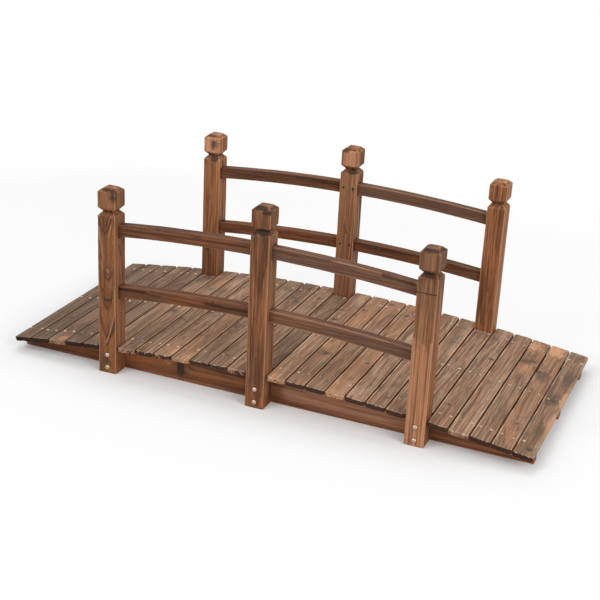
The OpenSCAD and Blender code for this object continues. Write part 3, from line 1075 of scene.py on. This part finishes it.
# How each post was cut: its pith as u, v and their lean; how light and how warm it is at its foot and its
# head; how charred its neck is; and its knots as across, up and size in millimetres
POST_LOOKS = {
    "post_front_left": ((0.002, 0.05, 0.002, -0.045), (-0.09, -0.12), (0.9, 0.6), 0.5, ((4, 300, 5),)),
    "post_front_middle": ((-0.01, 0.06, 0.01, -0.01), (-0.1, -0.06), (0.6, -0.6), 0.9, ()),
    "post_front_right": ((0.12, 0.045, -0.01, 0.01), (0.24, -0.17), (0.2, -0.8), 0.3, ()),
    "post_back_left": ((-0.09, -0.03, 0.02, 0), (-0.27, 0.42), (0.5, 0), 0.4, ((-9, 170, 4),)),
    "post_back_middle": ((-0.12, 0.04, 0.01, -0.01), (-0.1, 0.24), (0.1, -0.3), 0.4, ()),
    "post_back_right": ((0.07, -0.06, 0, 0.02), (0.38, 0.25), (0.2, 0), 0.4, ()),
}
# Dark patches: across, deep and below the top, three radii and strength, in millimetres
POST_PATCHES = {
    "post_front_left": (
        (20, -22, 11, 12, 12, 24, 1.1), (0, -18, 3, 14, 9, 5, 1), (-5, -19, 68, 14, 8, 5, 0.5),
    ),
    "post_front_middle": (
        (-7, -20, 4, 20, 11, 8, 2.2), (20, -27, 12, 14, 7, 6, 2.4), (24, 4, 5, 8, 22, 8, 0.7),
        (8, -20, 67, 16, 11, 9, 2.8), (-14, -22, 68, 13, 10, 8, 1.3),
    ),
    "post_front_right": (
        (0, -20, 4, 30, 12, 8, 0.8), (24, 6, 5, 8, 22, 8, 0.6), (0, -19, 68, 24, 12, 8, 1),
    ),
    "post_back_left": (
        (6, -24, 72, 13, 10, 8, 2.2), (6, -27, 26, 14, 8, 22, 0.9), (0, -20, 3, 26, 14, 6, 0.7),
    ),
    "post_back_middle": (
        (-15, -24, 7, 14, 10, 7, 2), (10, -21, 70, 15, 10, 8, 2.2),
    ),
}


def post_profile(height):
    """Corners of half a post's outline, as height and half size, from its foot up to its flat top."""
    neck = height - HEAD_HEIGHT - NECK_HEIGHT
    return [
        (0, POST_HALF - FOOT_BEVEL),
        (FOOT_BEVEL, POST_HALF),
        (neck, POST_HALF),
        (neck + NECK_HEIGHT / 2, POST_HALF - NECK_DEPTH),
        (neck + NECK_HEIGHT, POST_HALF),
        (height - HEAD_BEVEL_DROP, POST_HALF),
        (height, POST_HALF - HEAD_BEVEL_INSET),
        (height, POST_HALF - HEAD_BEVEL_INSET - TOP_STATION_INSET),
    ]


def eased_corner(before, corner, after, ease):
    """Three points that round a corner of an outline."""
    first, last = (
        corner + ease * (other - corner) / np.linalg.norm(other - corner) for other in (before, after)
    )
    return [first, (first + last) / 4 + corner / 2, last]


def post_stations(height):
    """Stations up a post, with the corners of its outline eased."""
    corners = [np.array(corner, float) for corner in post_profile(height)]
    outline = corners[:1]
    for before, corner, after in zip(corners, corners[1:], corners[2:]):
        outline += eased_corner(before, corner, after, FOOT_EASE if corner[0] < 0.01 else PROFILE_EASE)
    rows = []
    for first, last in zip(outline, outline[1:]):
        steps = max(1, round((last[0] - first[0]) / POST_STEP_LENGTH))
        rows += [first + (last - first) * step / steps for step in range(steps)]
    return [(w, half, half, 0, 0, POST_EASE) for w, half in [*rows, outline[-1]]]


def block_cutter(low, high):
    """Points and faces of a block, for a mortise."""
    faces = [(0, 1, 3, 2), (4, 6, 7, 5), (0, 4, 5, 1), (2, 3, 7, 6), (0, 2, 6, 4), (1, 5, 7, 3)]
    return np.array(list(itertools.product(*zip(low, high)))), faces


def drill_cutter(tip, direction, radius):
    """Points and faces of a drill with a pointed tip, which runs back from the tip along direction."""
    length, point = 1000 * DRILL_LENGTH, 600 * radius
    profile = ((0, length), (1000 * radius, length), (1000 * radius, point), (0, 0))
    turn = Vector(direction).to_track_quat("Z", "Y").to_matrix().to_4x4()
    return placed(lathed(profile, HOLE_SIDES), Matrix.Translation(tip) @ turn)


def rail_joints(side, station):
    """Which way each rail leaves a post, and the middle and top of its section, in the post's own axes."""
    rail_v = side * (POST_HALF - RAIL_SETBACK - RAIL_THICKNESS / 2)
    bays = (-1, 1) if station == 0 else (-station,)
    for top, bay in itertools.product(RAIL_TOPS.values(), bays):
        x = station * POST_SPACING + bay * POST_HALF * MORTISE_SLACK
        yield bay, rail_v, arc_height(RAIL_RADIUS, top, x)


def post_cuts(side, station):
    """Mortises for the rails and, in the middle posts, holes for their screws, in the post's own axes."""
    cuts = []
    for bay, rail_v, high in rail_joints(side, station):
        near, far = sorted((bay * (POST_HALF - TENON_LENGTH - MORTISE_CLEARANCE), bay * (POST_HALF + 0.01)))
        wide = RAIL_THICKNESS / 2 + MORTISE_CLEARANCE
        bottom = high - RAIL_HEIGHT - 3 * MORTISE_CLEARANCE
        top = high + 2 * MORTISE_CLEARANCE
        cuts.append(block_cutter((near, rail_v - wide, bottom), (far, rail_v + wide, top)))
        if station == 0:
            tip = (bay * SCREW_HOLE_OFFSET, -side * (POST_HALF - SCREW_HOLE_DEPTH), high - SCREW_HOLE_DROP)
            cuts.append(drill_cutter(tip, (0, -side, 0), SCREW_HOLE_RADIUS))
            across = rail_v - side * UPPER_HOLE_DEPTH
            above = (bay * (POST_HALF - UPPER_HOLE_DEPTH), across, high + UPPER_HOLE_LIFT)
            cuts.append(drill_cutter(above, (bay, 0, 0), SCREW_HOLE_RADIUS * UPPER_HOLE_SHARE))
    return joined(cuts)


def carved(mesh, cutter_mesh):
    """The mesh with the cutter's shape taken out of it."""
    piece, cutter = new_object("uncut", mesh), new_object("cutter", cutter_mesh)
    cut = piece.modifiers.new("cut", "BOOLEAN")
    cut.object = cutter
    cut.operation = "DIFFERENCE"
    cut.solver = "EXACT"
    graph = bpy.context.evaluated_depsgraph_get()
    result = bpy.data.meshes.new_from_object(piece.evaluated_get(graph))
    for made, old in ((piece, mesh), (cutter, cutter_mesh)):
        bpy.data.objects.remove(made)
        bpy.data.meshes.remove(old)
    return smoothed(result)


def post_char_and_shade(points, height, strength, seed):
    """Char in the neck, and painted shade deep in the mortises and holes."""
    u, v, w = points.T
    inside = NECK_HEIGHT / 2 - np.abs(w - height + HEAD_HEIGHT + NECK_HEIGHT / 2)
    patches = 0.3 + 0.7 * noise(points * 48, seed)
    in_neck = ramp(inside, *NECK_SOOT) * patches * strength
    in_neck = np.maximum(in_neck, 0.9 * ramp(inside, *NECK_LINE))
    # Deep inside the post the wood is painted black as shade
    depth = POST_HALF - np.maximum(np.abs(u), np.abs(v))
    below_neck = w < height - HEAD_HEIGHT - NECK_HEIGHT
    return np.maximum(in_neck, below_neck & (depth > DEEP_SHADE))


def mortise_shade_and_hole_rims(points, joints):
    """Painted shade round the rails' mortises, where they meet the post, and how dark the wood is round the
    screw holes.
    """
    u, v, w = points.T
    dark = np.zeros(len(points))
    for bay, rail_v, high in joints:
        past = (np.abs(v - rail_v) - RAIL_THICKNESS / 2, np.abs(w - high + RAIL_HEIGHT / 2) - RAIL_HEIGHT / 2)
        outside = np.hypot(*np.maximum(past, 0))
        hole = np.hypot(u - bay * SCREW_HOLE_OFFSET, w - high + SCREW_HOLE_DROP)
        rim, spot = (
            near_edge(np.maximum(out, 0), POST_SIZE, *JOINT_REACH) * (1 - ramp(distance, *width))
            for out, distance, width in (
                (bay * u, outside, MORTISE_RIM),
                (np.sign(rail_v) * v, hole, HOLE_RIM),
            )
        )
        dark = np.maximum(dark, np.maximum(rim, spot if len(joints) > 2 else 0))
    return dark


def post_marks(points, height, name, joints):
    """A post's own marks, painted shade round its mortises, a ring of painted shadow round its bolts, and
    pale arrises round its head that are partly wear and partly painted highlight.
    """
    layers = stroked(points, POST_HALF, name)
    for u, v, below, *radii, strength in POST_PATCHES.get(name, ()):
        add_patch(layers, points, "dark", (u, v, 1000 * height - below), radii, strength)
    # Painted shade round the mortises goes in with the dark marks
    raise_layer(layers, "dark", mortise_shade_and_hole_rims(points, joints))
    w = points[:, 2]
    # A ring of painted shadow round each bolt head
    for up in BOLT_HEIGHTS:
        from_bolt = np.hypot(points[:, 0], w - up)
        raise_layer(layers, "dark", 0.7 * (1 - ramp(from_bolt, *BOLT_RIM)))
    # Pale rims along the head's and neck's arrises, partly wear and partly painted highlight
    uneven = 0.5 + 0.7 * noise(points * 60, 31)
    for below in (0, HEAD_BEVEL_DROP, HEAD_HEIGHT, HEAD_HEIGHT + NECK_HEIGHT):
        rim = 0.65 * uneven * (1 - ramp(np.abs(w - height + below), *ARRIS_RIM))
        raise_layer(layers, "pale", rim)
    return layers


def add_post(side_name, station_name, material):
    """One post with its carved head, mortises and screw holes."""
    side, station = SIDES[side_name], STATIONS[station_name]
    height = POST_HEIGHTS[station_name]
    node = f"post_{side_name}_{station_name}"
    seed = 7000 + 300 * side + 50 * station
    bar = Bar(post_stations(height), (28, 0.07), (28, 0.07), seed)
    bar.sway(0.0002, 45)
    mesh = carved(new_mesh(node, bar.points, bar.quads), new_mesh("cutter", *post_cuts(side, station)))
    points = mesh_points(mesh)
    pith, light, warm, neck, knots = POST_LOOKS[node]
    wood = {
        "pith": pith,
        "knots": through_knots(knots, 1, 2),
        "char": post_char_and_shade(points, height, neck, seed),
        "marks": post_marks(points, height, node, list(rail_joints(side, station))),
        "light": light,
        "warm": warm,
        "seed": seed / 77,
    }
    place = Matrix.Translation((station * POST_SPACING, side * (HALF_WIDTH - POST_HALF), 0))
    add_wood(f"{node}_wood", node, material, bar, place, wood, mesh)


# Rails

RAIL_EASE = 0.0015
RAIL_END_EASE = 0.0008
RAIL_STEP = 0.006
RAIL_OFFSET = HALF_WIDTH - RAIL_SETBACK - RAIL_THICKNESS / 2
# How light and how warm each rail is
RAIL_TONES = {
    "rail_front_upper_left": (-0.15, 0.3),
    "rail_front_upper_right": (0.38, -0.75),
    "rail_front_lower_left": (-0.26, 0.5),
    "rail_front_lower_right": (0.41, -0.75),
    "rail_back_upper_left": (-0.17, -0.1),
    "rail_back_upper_right": (0.46, -2.5),
    "rail_back_lower_left": (-0.27, 1.1),
    "rail_back_lower_right": (-0.16, 0.3),
}


def rail_stations(top, bay):
    """Stations along a rail, between two arcs and two plumb ends."""
    near = POST_HALF - TENON_LENGTH
    low, high = sorted((bay * near, bay * (POST_SPACING - near)))

    def section(along, drawn):
        upper = arc_height(RAIL_RADIUS, top, along)
        lower = arc_height(RAIL_RADIUS - RAIL_HEIGHT, top - RAIL_HEIGHT, along)
        halves = (RAIL_THICKNESS / 2 - drawn, (upper - lower) / 2 - drawn)
        return (*halves, 0, (upper + lower) / 2, RAIL_EASE)

    places = np.linspace(low + RAIL_STEP, high - RAIL_STEP, round((high - low) / RAIL_STEP))
    return bar_stations(low, high, RAIL_END_EASE, places, section)


def add_rail(side_name, level, bay_name, material):
    """One arched rail, with its ends in the posts' mortises."""
    side, bay = SIDES[side_name], STATIONS[bay_name]
    node = f"rail_{side_name}_{level}_{bay_name}"
    top = RAIL_TOPS[level]
    seed = 9000 + 400 * side + 90 * bay + (30 if level == "upper" else 0)
    draw = random.Random(seed)
    bar = Bar(rail_stations(top, bay), (9, 0.08), (11, 0.08), seed)
    bar.sway(0.00025, 50)
    middle = bay * POST_SPACING / 2
    level_v = arc_height(RAIL_RADIUS, top, middle) - RAIL_HEIGHT / 2
    lean = draw.uniform(-0.03, 0.03)
    pith_u = draw.uniform(-0.05, 0.05)
    knots = []
    for _ in range(draw.choice((0, 1, 2))):
        along = middle + draw.uniform(-0.17, 0.17)
        radius = draw.uniform(0.003, 0.006)
        knots.append((0, (0, level_v + draw.uniform(-0.008, 0.008), along), (1, radius, radius * 1.4)))
    light, warm = RAIL_TONES[node]
    wood = {
        "pith": (pith_u, level_v - 0.03 - lean * middle, 0, lean),
        "knots": knots,
        "char": end_char(bar, 1),
        "marks": stroked(bar.planned, RAIL_THICKNESS / 2, node),
        "light": drawn_pair(draw, light - 0.07, light + 0.07),
        "warm": drawn_pair(draw, warm - 0.4, warm + 0.4),
        "seed": seed / 91,
    }
    place = Matrix.Translation((0, side * RAIL_OFFSET, 0)) @ ALONG_X
    add_wood(f"{node}_wood", node, material, bar, place, wood)


# Screws and bolts: profiles as radius and height in millimetres, and how many sides each is turned with
SCREW_SIDES = 24
SCREW_PROFILE = (
    (0, 1.5), (0.7, 1.5), (1.3, 1.46), (1.9, 1.38), (2.5, 1.22), (3.1, 0.98), (3.7, 0.6), (4.1, 0.18),
    (4.1, -0.6), (0, -0.6),
)
CROSS_HALF_WIDTH = 0.0005
CROSS_REACH = 0.0023
CROSS_DEPTH = 0.0009
SCREW_OFFSET = 0.016
SCREW_ROW_SHIFT = 0.006
SCREW_STRAY = 0.004
SCREW_TILT = 0.07
BOLT_SIDES = 32
BOLT_PROFILE = (
    (0, 3.4), (1.1, 3.4), (1.6, 4.1), (3, 3.8), (4.8, 3), (6.2, 1.8), (6.9, 0.6), (6.9, -0.4), (0, -0.4),
)
WASHER_PROFILE = ((0, 1.4), (8, 1.4), (8.5, 1), (8.5, -0.2), (0, -0.2))
SHANK_PROFILE = ((0, 10.5), (2.1, 10.5), (3, 9.6), (3, 0), (0, 0))
NUT_SIDES = 48
NUT_HALF_WIDTH = 5
NUT_PROFILE = ((0, 6.4), (5, 6.4), (5.3, 6.2), (5.8, 5.6), (5.8, 2.2), (5.3, 1.6), (5, 1.4), (0, 1.4))


def screw_head():
    """A pan head with a cross recess."""
    points, faces = lathed(SCREW_PROFILE, SCREW_SIDES)
    reach = np.hypot(points[:, 0], points[:, 1])
    in_cross = np.abs(points[:, :2]).min(1) < CROSS_HALF_WIDTH
    sunk = in_cross & (reach < CROSS_REACH) & (points[:, 2] > 0)
    points[sunk, 2] -= CROSS_DEPTH * (1 - 0.5 * reach[sunk] / CROSS_REACH)
    return points, faces


def add_deck_screws(material):
    """Two screws through each board into each stringer."""
    draw = random.Random(31)
    head = screw_head()
    shapes = []
    for number in range(1, BOARD_COUNT + 1):
        place = board_place(board_layout(number)[0])
        for row, across in itertools.product((-STRINGER_Y, 0, STRINGER_Y), (-SCREW_OFFSET, SCREW_OFFSET)):
            along = -row - SCREW_ROW_SHIFT + draw.uniform(-SCREW_STRAY, SCREW_STRAY)
            across += draw.uniform(-SCREW_STRAY, SCREW_STRAY)
            where = Matrix.Translation((across, -draw.uniform(0.0001, 0.0005), along))
            tip_x, tip_z = drawn_pair(draw, -SCREW_TILT, SCREW_TILT)
            spin = draw.uniform(0, math.pi / 2)
            turns = ((tip_x, "X"), (tip_z, "Z"), (-math.pi / 2, "X"), (spin, "Z"))
            shapes.append(placed(head, place @ where, *turns))
    new_piece("deck_screws", new_mesh("deck_screws", *joined(shapes)), material)


def hexagon(angle):
    """Distance from a nut's centre to its side in a direction."""
    third = math.pi / 3
    return NUT_HALF_WIDTH / math.cos((angle + third / 2) % third - third / 2)


def add_bolts(head_material, nut_material):
    """Domed bolt heads on the posts, and washers, nuts and thread ends inside the stringers."""
    draw = random.Random(57)
    head = lathed(BOLT_PROFILE, BOLT_SIDES)
    inner_shapes = [lathed(WASHER_PROFILE, BOLT_SIDES)]
    inner_shapes += [lathed(NUT_PROFILE, NUT_SIDES, hexagon), lathed(SHANK_PROFILE, BOLT_SIDES)]
    heads, nuts, tints = [], [], []
    inner = STRINGER_Y - STRINGER_THICKNESS / 2
    for side, station, z in itertools.product(SIDES.values(), STATIONS.values(), BOLT_HEIGHTS):
        x = station * POST_SPACING
        spin = draw.uniform(0, math.pi)
        outer_place = Matrix.Translation((x, side * HALF_WIDTH, z))
        heads.append(placed(head, outer_place, (-side * math.pi / 2, "X"), (spin, "Z")))
        inner_place = Matrix.Translation((x, side * inner, z))
        nuts += [placed(shape, inner_place, (side * math.pi / 2, "X"), (spin, "Z")) for shape in inner_shapes]
        # The lower bolt of the near left post is yellower, and so are the upper ones at the back but the left
        is_yellow = len({x < 0, z == BOLT_HEIGHTS[0], side < 0}) == 1
        tints += [0.3 if is_yellow else -0.08] * len(head[0])
    mesh = new_mesh("bolt_heads", *joined(heads))
    add_layer(mesh, "tint", np.array(tints), 0, 0)
    new_piece("bolt_heads", mesh, head_material)
    new_piece("bolt_nuts", new_mesh("bolt_nuts", *joined(nuts)), nut_material)


# Floor, light and camera

FLOOR_HALF = 9
FLOOR_COLOUR = (0.86, 0.86, 0.86)
# Shares of plain white in the floor as it is seen, at the bridge and at FLOOR_NEAR from it; over FLOOR_FADE
# the share rises to all
FLOOR_SHARES = (0.1, 0.75)
FLOOR_NEAR = 0.2
FLOOR_FADE = (0.1, 1.5)
WHITE = (1, 1, 1)
WORLD_LIGHT = 0.55
# Each lamp's place, size and power
LAMPS = {
    "key_lamp": ((-2.6, -4.2, 4.6), 3.4, 118),
    "fill_lamp": ((5, -2.6, 3), 3.6, 165),
    "top_lamp": ((-0.6, 0.9, 5.2), 4, 70),
}
LAMP_AIM = (0, 0, 0.2)


def seen_directly(nodes):
    """1 for what the camera sees, directly or in gloss or glass, and 0 for the light that it casts."""
    path = nodes.add("LightPath")
    seen = nodes.math("MAXIMUM", path["Is Camera Ray"], path["Is Glossy Ray"])
    return nodes.math("MAXIMUM", seen, path["Is Transmission Ray"])


def add_floor():
    """A plain pale floor, which fades to white away from the bridge and keeps its shadow."""
    mesh = bpy.data.meshes.new("floor")
    signs = ((-1, -1), (1, -1), (1, 1), (-1, 1))
    mesh.from_pydata([(x * FLOOR_HALF, y * FLOOR_HALF, 0) for x, y in signs], [], [(0, 1, 2, 3)])
    nodes = Nodes(bpy.data.materials.new("pale_floor"))
    where = nodes.vector("ABSOLUTE", nodes.add("TexCoord")["Object"])
    beyond = nodes.vector("SUBTRACT", where, (HALF_LENGTH, HALF_WIDTH, 0))
    outside = nodes.vector("LENGTH", nodes.vector("MAXIMUM", beyond, (0, 0, 0)))
    near = nodes.rise(outside, 0, FLOOR_NEAR, FLOOR_SHARES[1], FLOOR_SHARES[0])
    fade = nodes.math("MAXIMUM", near, nodes.rise(outside, *FLOOR_FADE))
    share = nodes.math("MULTIPLY", seen_directly(nodes), fade)
    paint = nodes.add("BsdfDiffuse", {"Color": FLOOR_COLOUR})[0]
    white = nodes.add("Emission", {"Color": WHITE, "Strength": 1})[0]
    nodes.add("OutputMaterial", nodes.add("MixShader", [share, paint, white])[:1])
    mesh.materials.append(nodes.owner)
    new_object("floor", mesh)


def add_world():
    """Even light from all round, with a white background where the camera looks past the bridge."""
    nodes = Nodes(bpy.data.worlds.new("studio"))
    bpy.context.scene.world = nodes.owner
    light, white = (
        nodes.add("Background", {"Color": WHITE, "Strength": strength})[0] for strength in (WORLD_LIGHT, 1)
    )
    nodes.add("OutputWorld", nodes.add("MixShader", [seen_directly(nodes), light, white])[:1])


def turned_to(place, aim):
    """The matrix of a lamp or a camera at a place, turned to its aim."""
    turn = (Vector(place) - Vector(aim)).to_track_quat("Z", "Y").to_matrix().to_4x4()
    return Matrix.Translation(place) @ turn


def add_lamps():
    """Large soft lamps round the bridge, all turned to its middle."""
    for name, (place, size, power) in LAMPS.items():
        data = bpy.data.lights.new(name, "AREA")
        data.shape = "DISK"
        data.size = size
        data.energy = power
        new_object(name, data).matrix_world = turned_to(place, LAMP_AIM)


def add_camera():
    """The camera at the photograph's place and angles."""
    azimuth, elevation = math.radians(CAMERA_AZIMUTH), math.radians(CAMERA_ELEVATION)
    level = math.cos(elevation)
    back = Vector((math.sin(azimuth) * level, -math.cos(azimuth) * level, math.sin(elevation)))
    data = bpy.data.cameras.new("camera")
    data.lens = CAMERA_LENS
    camera = new_object("camera", data)
    place = Vector(CAMERA_AIM) + back * CAMERA_DISTANCE
    camera.matrix_world = turned_to(place, CAMERA_AIM) @ Matrix.Rotation(math.radians(CAMERA_ROLL), 4, "Z")
    bpy.context.scene.camera = camera


def add_bridge():
    """All pieces of the bridge."""
    deck_fir, stringer_fir, post_fir, rail_fir = (
        fir_material(name, look)
        for name, look in (
            ("deck_fir", DECK_FIR),
            ("stringer_fir", STRINGER_FIR),
            ("post_fir", POST_FIR),
            ("rail_fir", RAIL_FIR),
        )
    )
    brass = metal_material("yellow_zinc", (0.60, 0.47, 0.33), (0.27, 0.20, 0.14), 0.38)
    zinc = metal_material("pink_zinc", (0.52, 0.39, 0.35), (0.50, 0.41, 0.18), 0.34)
    grey = metal_material("grey_zinc", (0.60, 0.60, 0.60), (0.36, 0.35, 0.34), 0.36)
    for number in range(1, BOARD_COUNT + 1):
        add_board(number, deck_fir)
    for name in STRINGER_ROWS:
        add_stringer(name, stringer_fir)
    for side_name, station_name in itertools.product(SIDES, STATIONS):
        add_post(side_name, station_name, post_fir)
    for side_name, level, bay_name in itertools.product(SIDES, RAIL_TOPS, ("left", "right")):
        add_rail(side_name, level, bay_name, rail_fir)
    add_deck_screws(brass)
    add_bolts(zinc, grey)


add_bridge()
add_floor()
add_world()
add_lamps()
add_camera()
bpy.context.scene.view_settings.view_transform = "Standard"
